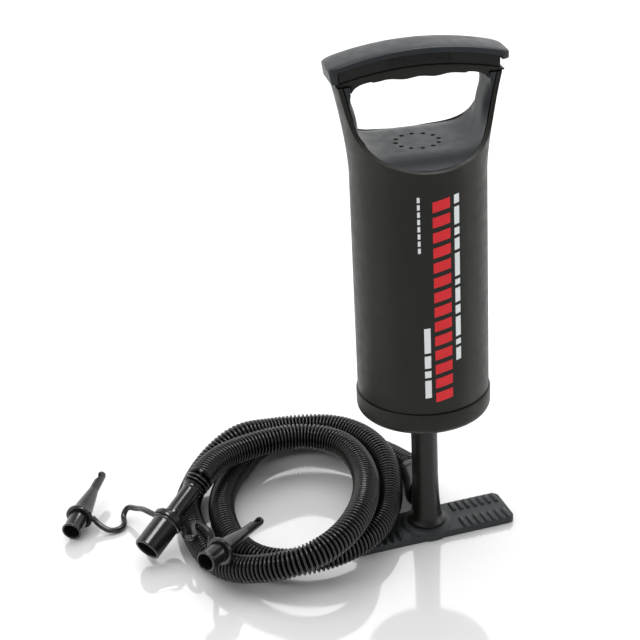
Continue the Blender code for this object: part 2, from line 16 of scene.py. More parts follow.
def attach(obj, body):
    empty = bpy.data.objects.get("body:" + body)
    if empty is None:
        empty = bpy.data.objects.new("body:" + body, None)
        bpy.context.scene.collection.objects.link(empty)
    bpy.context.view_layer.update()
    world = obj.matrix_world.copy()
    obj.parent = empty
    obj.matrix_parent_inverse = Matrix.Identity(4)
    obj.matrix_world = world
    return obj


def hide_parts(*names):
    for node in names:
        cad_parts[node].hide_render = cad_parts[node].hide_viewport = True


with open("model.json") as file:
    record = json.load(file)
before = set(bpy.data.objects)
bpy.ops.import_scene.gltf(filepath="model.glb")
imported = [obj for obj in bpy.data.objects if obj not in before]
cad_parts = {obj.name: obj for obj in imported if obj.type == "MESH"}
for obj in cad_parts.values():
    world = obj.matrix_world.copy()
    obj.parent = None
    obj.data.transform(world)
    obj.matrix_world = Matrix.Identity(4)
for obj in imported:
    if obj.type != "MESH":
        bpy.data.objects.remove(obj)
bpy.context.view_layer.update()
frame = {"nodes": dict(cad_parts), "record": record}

MM = 0.001

# GAP is left between neighbouring pieces, and the wider SEAM between the shell and the uprights' linings
GAP, SEAM = 0.3, 0.7

# Barrel and handle
YAW = math.radians(-6.0)
BARREL_FOOT, BARREL_FOOT_RADIUS = 118.6, 45.0
NECK, NECK_RADIUS = 276.0, 44.6
BORE_RADIUS, SPIGOT_RADIUS = 42.0, 41.7
SKIN, UPRIGHT_SKIN, SKIN_CHANGE, SKIN_CHANGE_LENGTH = 2.4, 3.0, 292.0, 20.0
CEILING, AIR_SPACE_TOP, AIR_SPACE_RADIUS = 280.0, 290.2, 26.0
FLARE, FLARE_STEPS = 9.5, 24
HANDLE_TOP = 338.2
SADDLE, SADDLE_DROP, SADDLE_FLAT, SADDLE_REACH = 294.4, 6.3, 21.0, 45.0
OPENING_FLARE, OPENING_LOW, OPENING_HIGH = 4.6, 304.0, 333.0
INTAKE_RING, INTAKE_HOLES, INTAKE_HOLE_RADIUS = 14.2, 12, 1.6
RIM = [(48, 287.6), (45, 288.4), (42, 290.2), (36, 293.2), (30, 296.8), (24, 301.6), (18.5, 308.0),
       (15.2, 315.0), (13.6, 323.0), (13.0, 331.0), (13.0, 339.5)]
DISH = [(0, SADDLE), (14, SADDLE), (23, SADDLE + 0.2), (30, SADDLE + 1.3), (35.4, SADDLE + 4.2),
        (38.4, SADDLE + 8.6), (39.8, 308.5), (40.4, 314.0), (42.0, 322.0), (44.2, 330.0), (44.7, 345.0)]

# Grip
GRIP_ARC = 205.0
LIP, BAND_TOP, GRIP_UNDERSIDE = 347.2, 357.2, 340.2
GRIP_SCREWS = [(-46.7, 0), (46.7, 0)]
FINGERS_HALF, UPRIGHT_FACE = 30.0, 43.9
BAND_HALF = 51.6
COVER_HALF_WIDTH, COVER_EDGE, SKIRT = 14.2, 0.9, 2.0
COVER_STRAIGHT, COVER_ROUND, COVER_PAST_BAND = 50.0, 7.9, 52.45
HOOK_FROM, HOOK_LOW, LIFT_LOW = 56.4, 341.2, 346.0

# End cap
CAP_FLOOR, CAP_SEAM, CAP_RADIUS, CAP_EDGE = 102.6, 118.2, 46.0, 5.2
CAP_HOLES, CAP_HOLE_RING, CAP_HOLE_RADIUS = 10, 27.0, 2.0

# Rod and foot
ROD_RADIUS, ROD_BORE, ROD_TOP, ROD_STRAIGHT_FROM = 9.2, 6.6, 209.0, 46.0
FLANGE_RADIUS, FLANGE_Z = 14.0, 7.8
FOOT_HALF_LENGTH, FOOT_HALF_WIDTH, FOOT_CORNER = 62.0, 17.5, 5.0
HUB_RADIUS, PAD_THICKNESS, PAD_EDGE = 19.0, 5.2, 1.0
SCREW_COUNT, SCREW_RING = 4, 11.0
RIDGE_FIRST, RIDGE_PITCH, RIDGE_COUNT = 24.0, 5.5, 7
RIDGE_ROWS = ((-11.2, 12.6), (10.2, 11.0))

# Hose port, cuffs and hose
PORT_START = Vector((0.0, 0.0, 17.0))
PORT_DIRECTION = Vector((0.17, 0.983, -0.06)).normalized()
PORT_RADIUS, PORT_BORE, PORT_END = 7.4, 5.2, 31.0
CUFF_START, CUFF_END = 20.0, 54.7
HOSE_RADIUS, HOSE_VALLEY, RIB_PITCH = 9.8, 7.3, 3.0
HOSE_STRAIGHT = 8.0
HOSE_ROUTE = [
    (2.5, 89, 10.5), (-12, 114, 10.2), (-31, 135.5, 10.2), (-57.5, 146, 10.2), (-85.5, 139.5, 10.2),
    (-105.5, 119, 10.2), (-122.5, 95.5, 10.2), (-134, 70, 10.2), (-138.5, 41.5, 10.3),
    (-136.5, 13, 10.3), (-124, -12.5, 11.4), (-99.5, -27, 13.8), (-71, -27, 16.3),
    (-45.5, -14.5, 17.3), (-27, 7.5, 17.4), (-15.5, 34, 19.6), (-10, 61.5, 24.1),
    (-13.5, 90, 26.8), (-27.5, 114.5, 26.8), (-52, 129, 26.2), (-81, 130.5, 28.0),
    (-102, 126.5, 30.4), (-120.5, 120.5, 25.6), (-136, 111, 18.4), (-148.5, 96.5, 13.0),
    (-157.5, 78, 10.4), (-161, 58, 10.2), (-161, 37, 10.2), (-158.5, 10, 10.4),
    (-148.7, -15, 13.6), (-130.5, -35.5, 21.4), (-105, -46.5, 29.4), (-78, -40, 34.8),
    (-57.5, -20.5, 37.0), (-43.7, 4.7, 34.2), (-34.2, 31.5, 31.2), (-30.5, 60, 30.2),
    (-36, 87.5, 30.2), (-56.5, 106, 30.6), (-84.5, 107.8, 32.4), (-111, 100.5, 34.0),
    (-133, 85.5, 36.8),
]

# Nozzles and tether
NOZZLE_START = Vector((-155.5, 60.2, 35.0))
NOZZLE_DIRECTION = Vector((-44.3, -32.7, -22.6)).normalized()
NOZZLE_CUFF_LENGTH, MAIN_NOZZLE_END, COLLAR_AT = 27.0, 58.0, 31.0
SMALL_NOZZLE_LENGTH = 66.0
LEFT_NOZZLE = (Vector((-244.3, 78.5, 8.2)), Vector((34.5, 55.4, 9.8)).normalized())
RIGHT_NOZZLE = (Vector((-169.2, -30.7, 33.4)), Vector((50.8, 42.1, -4.6)).normalized())
TETHER_RADIUS, TETHER_RING_AT, TETHER_HALF_HEIGHT = 2.1, 16.6, 1.4
LEFT_TETHER = [
    (-226.9, 88.3, 10.2), (-222, 82, 5.4), (-215, 77.5, 2.6), (-208, 79, 2.4),
    (-204.6, 85, 3.0), (-203.5, 91, 5.5), (-201, 92.5, 8.5), (-196.5, 86, 12.5),
    (-192.5, 74, 18.0), (-190.0, 63.5, 21.8), (-185.1, 52.1, 23.2),
]
RIGHT_TETHER = [
    (-171.0, 36.4, 18.8), (-169.8, 32.5, 19.5), (-171.2, 26, 20.0), (-170.6, 19.5, 21.6),
    (-166.8, 16.5, 23.0), (-165.0, 25, 23.8), (-161.5, 32.5, 24.0), (-157.5, 26, 24.0),
    (-156, 11, 25.2), (-159.8, -3, 29.0), (-162.4, -12.8, 32.2),
]

# The middle of the printed front, in degrees round the rod from +X
PRINT_FRONT = -110.4


# ---------------------------------------------------------------- camera, floor and light

def make_camera():
    """The camera looks down 26 degrees from the front left, rolled a little anticlockwise."""
    azimuth, elevation, roll = math.radians(-16.2), math.radians(26.1), math.radians(-3.203)
    target, distance = Vector((-0.0656, 0.0191, 0.1709)), 1.05
    right = Vector((math.cos(azimuth), math.sin(azimuth), 0))
    ahead = Vector((-math.sin(azimuth) * math.cos(elevation), math.cos(azimuth) * math.cos(elevation),
                    -math.sin(elevation)))
    up = right.cross(ahead)
    across = math.cos(roll) * right + math.sin(roll) * up
    upward = -math.sin(roll) * right + math.cos(roll) * up
    data = bpy.data.cameras.new("camera")
    data.lens, data.sensor_width = 87.7, 36.0
    data.clip_start, data.clip_end = 0.01, 30
    camera = bpy.data.objects.new("camera", data)
    axes = Matrix((across, upward, -ahead)).transposed().to_4x4()
    camera.matrix_world = Matrix.Translation(target - ahead * distance) @ axes
    bpy.context.scene.collection.objects.link(camera)
    bpy.context.scene.camera = camera


def make_floor():
    """A pale, glossy floor that mirrors the pump faintly."""
    half = 6.0
    mesh = bpy.data.meshes.new("floor")
    corners = [(-half, -half, 0), (half, -half, 0), (half, half, 0), (-half, half, 0)]
    mesh.from_pydata(corners, [], [(0, 1, 2, 3)])
    floor = bpy.data.objects.new("floor", mesh)
    bpy.context.scene.collection.objects.link(floor)
    finish = bpy.data.materials.new("pale_floor")
    finish.use_nodes = True
    shader = finish.node_tree.nodes["Principled BSDF"]
    shader.inputs["Base Color"].default_value = (0.90, 0.90, 0.90, 1)
    shader.inputs["Roughness"].default_value = 0.07
    shader.inputs["IOR"].default_value = 2.2
    shader.inputs["Specular IOR Level"].default_value = 0.9
    mesh.materials.append(finish)


def area_light(name, place, aim_at, size, power):
    """A rectangular light. Places and sizes are in metres, and the power is in watts."""
    data = bpy.data.lights.new(name, "AREA")
    data.shape, data.size, data.size_y = "RECTANGLE", size[0], size[1]
    data.energy = power
    light = bpy.data.objects.new(name, data)
    light.location = place
    light.rotation_euler = (Vector(aim_at) - Vector(place)).to_track_quat("-Z", "Y").to_euler()
    bpy.context.scene.collection.objects.link(light)
    return light


def make_light():
    """A white studio, bright behind the pump, dimmer in front of it and overhead, with five lights.

    The top light shades matt surfaces only, and the lip and overhead lights show only as glints.
    """
    world = bpy.data.worlds.new("studio")
    bpy.context.scene.world = world
    world.use_nodes = True
    tree = world.node_tree
    direction = tree.nodes.new("ShaderNodeSeparateXYZ")
    tree.links.new(tree.nodes.new("ShaderNodeTexCoord").outputs["Generated"], direction.inputs[0])
    behind = mapped(tree, direction.outputs["Y"], -0.45, 0.45, 0.65, 1.45)
    high = mapped(tree, direction.outputs["Z"], 0.45, 0.85, 1.0, 0.25)
    strength = tree.nodes.new("ShaderNodeMath")
    strength.operation = "MULTIPLY"
    tree.links.new(behind, strength.inputs[0])
    tree.links.new(high, strength.inputs[1])
    tree.links.new(strength.outputs[0], tree.nodes["Background"].inputs["Strength"])
    tree.nodes["Background"].inputs["Color"].default_value = (1, 1, 1, 1)
    bpy.context.scene.view_settings.view_transform = "Standard"
    middle = (-0.05, 0.03, 0.15)
    top = area_light("top_light", (-0.2, 0.5, 2.4), (-0.1, 0.5, 0), (3.0, 3.0), 56)
    top.visible_glossy = False
    for name, place, size, power in (("lip_light", (0.45, 0.36, 1.5), (0.5, 0.35), 9),
                                     ("overhead_light", (-0.35, -0.15, 1.5), (0.6, 0.5), 13)):
        glint = area_light(name, place, (-0.1, 0, 0.1), size, power)
        glint.visible_diffuse = False
    area_light("left_light", (-1.5, -0.1, 0.9), middle, (0.35, 1.4), 3)
    area_light("right_light", (1.4, -0.5, 0.9), middle, (0.35, 1.4), 5)


# ---------------------------------------------------------------- materials

TINT_SCALE, SPECK_SCALE, GLOSS_SCALE = 22, 900, 140
GRAIN_DEPTH = 0.0004
# Painted shade for the hose's grooves: a near-black groove colour, and less shine than on the crests.
GROOVE_SHADE_TINT, GROOVE_SHINE, CREST_SHINE = (0.0008, 0.0008, 0.0008), 0.02, 0.45
GROOVE_LEVEL = 0.45


def noise(tree, scale, detail, coordinate):
    texture = tree.nodes.new("ShaderNodeTexNoise")
    texture.inputs["Scale"].default_value = scale
    texture.inputs["Detail"].default_value = detail
    texture.inputs["Roughness"].default_value = 0.55
    tree.links.new(coordinate, texture.inputs["Vector"])
    return texture.outputs["Fac"]


def mapped(tree, value, low, high, new_low, new_high):
    node = tree.nodes.new("ShaderNodeMapRange")
    settings = {"From Min": low, "From Max": high, "To Min": new_low, "To Max": new_high}
    for socket, number in settings.items():
        node.inputs[socket].default_value = number
    tree.links.new(value, node.inputs["Value"])
    return node.outputs["Result"]


def blended(tree, factor, first, second):
    node = tree.nodes.new("ShaderNodeMix")
    node.data_type = "RGBA"
    tree.links.new(factor, node.inputs["Factor"])
    for socket, colour in ((node.inputs[6], first), (node.inputs[7], second)):
        if isinstance(colour, tuple):
            socket.default_value = (*colour, 1)
        else:
            tree.links.new(colour, socket)
    return node.outputs[2]


def finish_of(name, colour, shade, roughness, grain=0.12, grain_scale=1500, metallic=0.0,
              wear=0.35, rounding=0.5, specular=0.5):
    """A moulded surface: broad tint variation, fine grain, uneven gloss, and paler worn edges."""
    made = bpy.data.materials.new(name)
    made.use_nodes = True
    tree = made.node_tree
    shader = tree.nodes["Principled BSDF"]
    place = tree.nodes.new("ShaderNodeTexCoord").outputs["Object"]
    # Broad variation of the tint, fine pale specks, and paler worn edges
    broad = mapped(tree, noise(tree, TINT_SCALE, 4, place), 0.3, 0.7, 0, 1)
    tint = blended(tree, broad, colour, shade)
    speck = mapped(tree, noise(tree, SPECK_SCALE, 2, place), 0.62, 0.78, 0, 0.5)
    tint = blended(tree, speck, tint, tuple(min(1.0, c * 1.35 + 0.004) for c in colour))
    rounded = tree.nodes.new("ShaderNodeBevel")
    rounded.samples = 4
    rounded.inputs["Radius"].default_value = rounding * MM
    surface = tree.nodes.new("ShaderNodeNewGeometry")
    turn = tree.nodes.new("ShaderNodeVectorMath")
    turn.operation = "DOT_PRODUCT"
    tree.links.new(rounded.outputs["Normal"], turn.inputs[0])
    tree.links.new(surface.outputs["Normal"], turn.inputs[1])
    edge = mapped(tree, turn.outputs["Value"], 0.96, 0.72, 0, wear)
    tint = blended(tree, edge, tint, tuple(min(1.0, c * 2.2 + 0.02) for c in colour))
    tree.links.new(tint, shader.inputs["Base Color"])
    # Uneven gloss and fine grain
    uneven = noise(tree, GLOSS_SCALE, 5, place)
    gloss = mapped(tree, uneven, 0.3, 0.7, roughness - 0.06, roughness + 0.07)
    tree.links.new(gloss, shader.inputs["Roughness"])
    bump = tree.nodes.new("ShaderNodeBump")
    bump.inputs["Strength"].default_value = grain
    bump.inputs["Distance"].default_value = GRAIN_DEPTH
    tree.links.new(noise(tree, grain_scale, 2, place), bump.inputs["Height"])
    tree.links.new(rounded.outputs["Normal"], bump.inputs["Normal"])
    tree.links.new(bump.outputs["Normal"], shader.inputs["Normal"])
    shader.inputs["Metallic"].default_value = metallic
    shader.inputs["Specular IOR Level"].default_value = specular
    return made


def paint_groove_shade(made):
    """Paints shade into the grooves between the hose's ribs: a near-black colour and little shine there."""
    tree = made.node_tree
    shader = tree.nodes["Principled BSDF"]
    crest = tree.nodes.new("ShaderNodeAttribute")
    crest.attribute_name = "crest"
    tint = shader.inputs["Base Color"].links[0].from_socket
    # Painted shade: the grooves between the ribs take the near-black colour and lose most of their shine.
    raised = mapped(tree, crest.outputs["Fac"], GROOVE_LEVEL, 1.0, 0, 1)
    tree.links.new(blended(tree, raised, GROOVE_SHADE_TINT, tint), shader.inputs["Base Color"])
    shine = mapped(tree, crest.outputs["Fac"], GROOVE_LEVEL, 1.0, GROOVE_SHINE, CREST_SHINE)
    tree.links.new(shine, shader.inputs["Specular IOR Level"])
    return made


BARREL_GREY = finish_of("barrel_plastic", (0.0094, 0.0097, 0.0066), (0.0072, 0.0075, 0.0050), 0.42,
                        grain=0.10, specular=0.25)
COVER_GREY = finish_of("cover_plastic", (0.023, 0.0265, 0.030), (0.018, 0.0215, 0.024), 0.40, grain=0.10,
                       specular=0.20)
GRIP_DARK = finish_of("band_plastic", (0.0055, 0.0052, 0.0048), (0.0080, 0.0075, 0.0070), 0.45, wear=0.2,
                      specular=0.25)
FOOT_GREY = finish_of("foot_plastic", (0.030, 0.034, 0.036), (0.023, 0.027, 0.029), 0.44, grain=0.14,
                      specular=0.28)
ROD_GREY = finish_of("rod_plastic", (0.0072, 0.0076, 0.0060), (0.0054, 0.0058, 0.0046), 0.32, grain=0.06,
                     specular=0.35)
# The hose's vinyl, with painted shade in the grooves between its ribs.
VINYL = paint_groove_shade(finish_of("hose_vinyl", (0.0150, 0.0150, 0.0136), (0.0190, 0.0190, 0.0174), 0.17,
                                 grain=0.04, grain_scale=900, wear=0.0, rounding=0.1))
NOZZLE_BLACK = finish_of("nozzle_vinyl", (0.0085, 0.0088, 0.0086), (0.0120, 0.0124, 0.0120), 0.20,
                         grain=0.05, wear=0.1, specular=0.55)
CUFF_GREY = finish_of("cuff_vinyl", (0.012, 0.0125, 0.012), (0.009, 0.0095, 0.009), 0.32, grain=0.07,
                      specular=0.4)
RUBBER = finish_of("seal_rubber", (0.010, 0.010, 0.010), (0.016, 0.015, 0.014), 0.72, grain=0.2, wear=0.1)
NYLON = finish_of("valve_nylon", (0.60, 0.58, 0.52), (0.54, 0.52, 0.46), 0.48, grain=0.08, wear=0.1)
STEEL = finish_of("zinc_steel", (0.56, 0.56, 0.57), (0.46, 0.46, 0.48), 0.33, grain=0.1, metallic=1.0)
RED_INK = finish_of("red_ink", (0.72, 0.016, 0.024), (0.62, 0.013, 0.020), 0.42, grain=0.08, wear=0,
                    specular=0.3)
WHITE_INK = finish_of("white_ink", (0.80, 0.83, 0.84), (0.70, 0.73, 0.74), 0.42, grain=0.08, wear=0,
                      specular=0.3)


# ---------------------------------------------------------------- mesh tools

SHARP_EDGE = 35


def clamp(value):
    return max(0.0, min(1.0, value))


def new_piece(name, shape, finish, sharp=SHARP_EDGE):
    """Closes a bmesh into a piece. Edges that turn by more than sharp degrees stay sharp."""
    bmesh.ops.remove_doubles(shape, verts=shape.verts, dist=1e-6)
    bmesh.ops.recalc_face_normals(shape, faces=shape.faces)
    mesh = bpy.data.meshes.new(name)
    shape.to_mesh(mesh)
    shape.free()
    mesh.shade_smooth()
    mesh.set_sharp_from_angle(angle=math.radians(sharp))
    piece = bpy.data.objects.new(name, mesh)
    bpy.context.scene.collection.objects.link(piece)
    if finish:
        mesh.materials.append(finish)
    return piece


def finished(piece, body, slot, *nodes):
    """Parents a piece to the body it rides on and hides the CAD solids it stands for; its slot is not used.
    """
    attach(piece, body)
    if nodes:
        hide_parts(*nodes)
    return piece


def turned(name, outline, finish=None, *, steps):
    """Turns an outline of (radius, height) about Z. One that starts and ends on the axis is open there."""
    shape = bmesh.new()
    points = [shape.verts.new((r * MM, 0, z * MM)) for r, z in outline]
    on_axis = outline[0][0] == 0 and outline[-1][0] == 0
    pairs = zip(points, points[1:] if on_axis else points[1:] + points[:1])
    edges = [shape.edges.new(pair) for pair in pairs]
    bmesh.ops.spin(shape, geom=points + edges, cent=(0, 0, 0), axis=(0, 0, 1),
                   angle=2 * math.pi, steps=steps, use_merge=True)
    return new_piece(name, shape, finish)


def lofted(name, sections, finish=None, sharp=SHARP_EDGE):
    """A skin over a row of outlines with the same number of points, closed by its first and last ones."""
    shape = bmesh.new()
    loops = [[shape.verts.new(Vector(point) * MM) for point in section] for section in sections]
    count = len(loops[0])
    for near, far in zip(loops, loops[1:]):
        for i in range(count):
            j = (i + 1) % count
            shape.faces.new((near[i], near[j], far[j], far[i]))
    shape.faces.new(loops[0])
    shape.faces.new(loops[-1])
    return new_piece(name, shape, finish, sharp)


def pegs(name, places, radius, low, high):
    """Upright round pegs, which cut holes."""
    shape = bmesh.new()
    for x, y in places:
        middle = Matrix.Translation(Vector((x, y, (low + high) / 2)) * MM)
        bmesh.ops.create_cone(shape, cap_ends=True, segments=24, radius1=radius * MM,
                              radius2=radius * MM, depth=(high - low) * MM, matrix=middle)
    return new_piece(name, shape, None)


def round_places(count, radius, turn=0.0):
    """The centres of count holes, evenly round a circle about the rod."""
    angles = [turn + 2 * math.pi * i / count for i in range(count)]
    return [(radius * math.cos(a), radius * math.sin(a)) for a in angles]


def combine(piece, other, operation="DIFFERENCE"):
    """Cuts, joins or intersects two closed shapes and takes the second one away."""
    step = piece.modifiers.new("combine", "BOOLEAN")
    step.operation, step.object = operation, other
    graph = bpy.context.evaluated_depsgraph_get()
    mesh = bpy.data.meshes.new_from_object(piece.evaluated_get(graph))
    piece.modifiers.clear()
    piece.data = mesh
    bpy.data.objects.remove(other)
    mesh.shade_smooth()
    mesh.set_sharp_from_angle(angle=math.radians(SHARP_EDGE))


def placed(piece, matrix):
    piece.data.transform(matrix)
    return piece


def aim(piece, start, direction):
    """Moves a piece that was turned about Z to start, with its axis along the direction."""
    turn = direction.to_track_quat("Z", "Y").to_matrix().to_4x4()
    return placed(piece, Matrix.Translation(start * MM) @ turn)


def yawed(piece):
    return placed(piece, Matrix.Rotation(YAW, 4, "Z"))


def smooth_curve(points, spacing):
    """Points about spacing apart on the natural cubic curve through the given points."""
    points = [Vector(p) for p in points]
    steps = [(b - a).length for a, b in zip(points, points[1:])]
    knots = [0.0]
    for step in steps:
        knots.append(knots[-1] + step)
    last = len(points) - 1
    size = len(points[0])
    bends = [Vector([0.0] * size) for _ in points]
    # Thomas' sweep for the curve's second derivatives, which are zero at both ends
    ratio = [0.0] * (last + 1)
    for i in range(1, last):
        slope = (points[i + 1] - points[i]) / steps[i] - (points[i] - points[i - 1]) / steps[i - 1]
        middle = 2 * (steps[i - 1] + steps[i]) - steps[i - 1] * ratio[i - 1]
        ratio[i] = steps[i] / middle
        bends[i] = (6 * slope - steps[i - 1] * bends[i - 1]) / middle
    for i in range(last - 1, 0, -1):
        bends[i] = bends[i] - ratio[i] * bends[i + 1]
    made = []
    total = knots[-1]
    count = max(2, round(total / spacing) + 1)
    span = 0
    for k in range(count):
        place = total * k / (count - 1)
        while span < last - 1 and place > knots[span + 1]:
            span += 1
        width = steps[span]
        left, along = knots[span + 1] - place, place - knots[span]
        point = (bends[span] * left**3 + bends[span + 1] * along**3) / (6 * width)
        point += (points[span] / width - bends[span] * width / 6) * left
        point += (points[span + 1] / width - bends[span + 1] * width / 6) * along
        made.append(point)
    return made


def arc_round(corner, first, second, radius, steps=3):
    """Points that round the corner between the directions of two neighbours."""
    corner, first, second = Vector(corner), Vector(first), Vector(second)
    one, two = (first - corner).normalized(), (second - corner).normalized()
    half = one.angle(two) / 2
    reach = min(radius / math.tan(half), 0.49 * (first - corner).length, 0.49 * (second - corner).length)
    radius = reach * math.tan(half)
    centre = corner + (one + two).normalized() * radius / math.sin(half)
    start, end = corner + one * reach - centre, corner + two * reach - centre
    sweep = start.angle(end)
    points = []
    for i in range(steps + 1):
        t = i / steps
        weight = math.sin((1 - t) * sweep), math.sin(t * sweep)
        points.append(tuple(centre + (start * weight[0] + end * weight[1]) / math.sin(sweep)))
    return points


def softened(outline, radius):
    """The outline with every corner rounded, apart from points on the axis."""
    made = []
    count = len(outline)
    for i, corner in enumerate(outline):
        before, after = outline[i - 1], outline[(i + 1) % count]
        one, two = Vector(before) - Vector(corner), Vector(after) - Vector(corner)
        straight = one.length < 1e-6 or two.length < 1e-6 or abs(one.angle(two) - math.pi) < 0.12
        if corner[0] == 0 or straight:
            made.append(corner)
        else:
            made += arc_round(corner, before, after, radius)
    return made


def tube(name, centres, radii, sides, finish=None, sharp=60):
    """A round tube through the centres, with a radius for each one and closed ends."""
    sections = []
    side = Vector((0, 0, 1))
    last = len(centres) - 1
    for i, point in enumerate(centres):
        ahead = (centres[min(i + 1, last)] - centres[max(i - 1, 0)]).normalized()
        side = (side - ahead * side.dot(ahead)).normalized()
        across = ahead.cross(side)
        turns = [2 * math.pi * k / sides for k in range(sides)]
        sections.append([point + radii[i] * (side * math.cos(a) + across * math.sin(a)) for a in turns])
    return lofted(name, sections, finish, sharp)


# ---------------------------------------------------------------- hose, cuffs, nozzles and tether

def hose_centres(spacing):
    """The hose's centre line: straight where it leaves each cuff, and along HOSE_ROUTE between them."""
    start = PORT_START + PORT_DIRECTION * (CUFF_END + GAP)
    end = NOZZLE_START - NOZZLE_DIRECTION * GAP
    straight, steps = HOSE_STRAIGHT, 4
    route = [start + PORT_DIRECTION * straight, *HOSE_ROUTE, end - NOZZLE_DIRECTION * straight]
    lead = [start + PORT_DIRECTION * straight * i / steps for i in range(steps)]
    tail = [end - NOZZLE_DIRECTION * straight * i / steps for i in range(steps - 1, -1, -1)]
    return lead + smooth_curve(route, spacing) + tail


def walked(centres, spacing):
    """The same line with points exactly spacing apart, and its length."""
    made, travelled, wanted = [centres[0]], 0.0, spacing
    for a, b in zip(centres, centres[1:]):
        step = (b - a).length
        while travelled + step >= wanted:
            made.append(a.lerp(b, (wanted - travelled) / step))
            wanted += spacing
        travelled += step
    return made, travelled


def make_hose():
    """The corrugated hose: one rounded rib every RIB_PITCH along its whole length."""
    profile = (0.0, 0.5, 0.93, 1.0, 0.93, 0.5)
    per_rib = len(profile)
    sides = 22
    line, length = walked(hose_centres(1.0), RIB_PITCH / per_rib)
    radii = [HOSE_VALLEY + (HOSE_RADIUS - HOSE_VALLEY) * profile[i % per_rib] for i in range(len(line))]
    hose = tube("ribbed_hose", line, radii, sides, VINYL, sharp=180)
    # Each ring's place on the rib profile, which the material reads to paint shade into the grooves.
    crest = hose.data.attributes.new("crest", "FLOAT", "POINT")
    for i in range(len(line) * sides):
        crest.data[i].value = profile[(i // sides) % per_rib]
    finished(hose, "stand", "gloss_black_vinyl", "hose_tube")
    path = [tuple(p * MM) for p in line[::per_rib]] + [tuple(line[-1] * MM)]
    return hose, path, length * MM


def make_cuffs():
    """The hose's smooth ends: one is pushed onto the port, and the other holds the main nozzle."""
    far = CUFF_END - CUFF_START
    fit = PORT_RADIUS + 0.4
    outline = softened([
        (10.4, 0), (11.0, 0.8), (11.0, 7.0), (10.4, 8.4), (10.4, far - 8.0), (11.2, far - 6.6),
        (11.2, far - 0.8), (10.6, far), (5.6, far), (5.6, 12.4), (fit, 11.4), (fit, 6.0), (8.9, 6.0),
        (8.9, 4.0), (fit, 4.0), (fit, 0)], 0.5)
    cuff = turned("pump_end_cuff_fine", outline, CUFF_GREY, steps=48)
    aim(cuff, PORT_START + PORT_DIRECTION * CUFF_START, PORT_DIRECTION)
    finished(cuff, "stand", "gloss_black_vinyl", "pump_end_cuff")
    length = NOZZLE_CUFF_LENGTH
    outline = softened([
        (7.4, 0), (7.8, 0.5), (7.6, 2.0), (6.8, 3.0), (6.6, 4.5), (6.6, length - 3), (7.2, length - 0.8),
        (7.0, length), (4.6, length), (4.6, 0)], 0.6)
    near = turned("nozzle_end_cuff_fine", outline, NOZZLE_BLACK, steps=48)
    aim(near, NOZZLE_START, NOZZLE_DIRECTION)
    finished(near, "stand", "gloss_black_vinyl", "nozzle_end_cuff")
    return [cuff, near]


def make_main_nozzle():
    """The wide nozzle at the hose's end, with a groove that the tether's collar sits in."""
    base, reach, groove = NOZZLE_CUFF_LENGTH + GAP, MAIN_NOZZLE_END, COLLAR_AT
    outline = softened([
        (7.4, base), (10.5, base + 0.7), (10.6, base + 1.8), (10.0, base + 2.1), (10.0, groove + 1.8),
        (10.9, groove + 1.9), (10.9, groove + 3.2), (9.9, groove + 3.9), (9.9, reach - 0.6), (9.5, reach),
        (8.3, reach), (8.0, reach - 0.8), (8.0, base + 9.0), (4.7, base + 5.0), (4.7, base)], 0.3)
    main = turned("main_nozzle_fine", outline, NOZZLE_BLACK, steps=64)
    aim(main, NOZZLE_START, NOZZLE_DIRECTION)
    return finished(main, "stand", "gloss_black_vinyl", "main_nozzle")


def make_small_nozzle(name, place, turn):
    """A stepped nozzle with a rim for its ring and a closed round tip, scooped out on one side."""
    start, direction = place
    end, rim = SMALL_NOZZLE_LENGTH, TETHER_RING_AT
    outline = softened([
        (0, end), (1.7, end - 0.3), (2.8, end - 1.2), (3.3, end - 2.8), (3.6, 46.0), (4.3, 42.0),
        (6.8, 26.0), (7.4, rim + 3.6), (8.4, rim + 3.0), (8.4, rim + 1.7), (6.9, rim + 1.6), (6.9, 2.0),
        (7.4, 0.6), (7.2, 0), (5.9, 0), (5.6, 13.0), (2.3, 16.0), (2.3, end - 2.6), (0, end - 2.6)], 0.35)
    nozzle = turned(name + "_fine", outline, NOZZLE_BLACK, steps=48)
    scoop = [(1.2, end - 3.4), (1.2, end - 6.5), (3.4, end - 10.5), (6.0, end - 10.5), (6.0, end - 1.0),
             (3.2, end - 1.8)]
    wedge = lofted("tip_scoop", [[(x, y, z) for y, z in scoop] for x in (-8, 8)])
    combine(nozzle, placed(wedge, Matrix.Rotation(math.radians(turn), 4, "Z")))
    aim(nozzle, start, direction)
    return finished(nozzle, "stand", "gloss_black_vinyl", name)


def make_nozzles():
    return [make_main_nozzle(), make_small_nozzle("small_nozzle_left", LEFT_NOZZLE, turn=-50.0),
            make_small_nozzle("small_nozzle_right", RIGHT_NOZZLE, turn=-12.0)]


def make_tether():
    """One soft strap: a collar on the main nozzle, and a curled tail to a ring on each small nozzle."""
    low, high = COLLAR_AT - TETHER_HALF_HEIGHT, COLLAR_AT + 1.5
    outline = softened([(11.8, high), (11.8, low), (10.3, low), (10.3, high)], 0.4)
    collar = turned("tether_fine", outline, NOZZLE_BLACK, steps=48)
    aim(collar, NOZZLE_START, NOZZLE_DIRECTION)
    for name, route in (("left_tail", LEFT_TETHER), ("right_tail", RIGHT_TETHER)):
        line = smooth_curve(route, 1.6)
        combine(collar, tube(name, line, [TETHER_RADIUS] * len(line), sides=14), "UNION")
    low, high = TETHER_RING_AT - TETHER_HALF_HEIGHT, TETHER_RING_AT + TETHER_HALF_HEIGHT
    outline = softened([(10.0, high), (10.0, low), (7.3, low), (7.3, high)], 0.4)
    for name, (start, direction) in (("left_loop", LEFT_NOZZLE), ("right_loop", RIGHT_NOZZLE)):
        combine(collar, aim(turned(name, outline, steps=40), start, direction), "UNION")
    return finished(collar, "stand", "gloss_black_vinyl", "tether_strap")


# ---------------------------------------------------------------- foot and rod

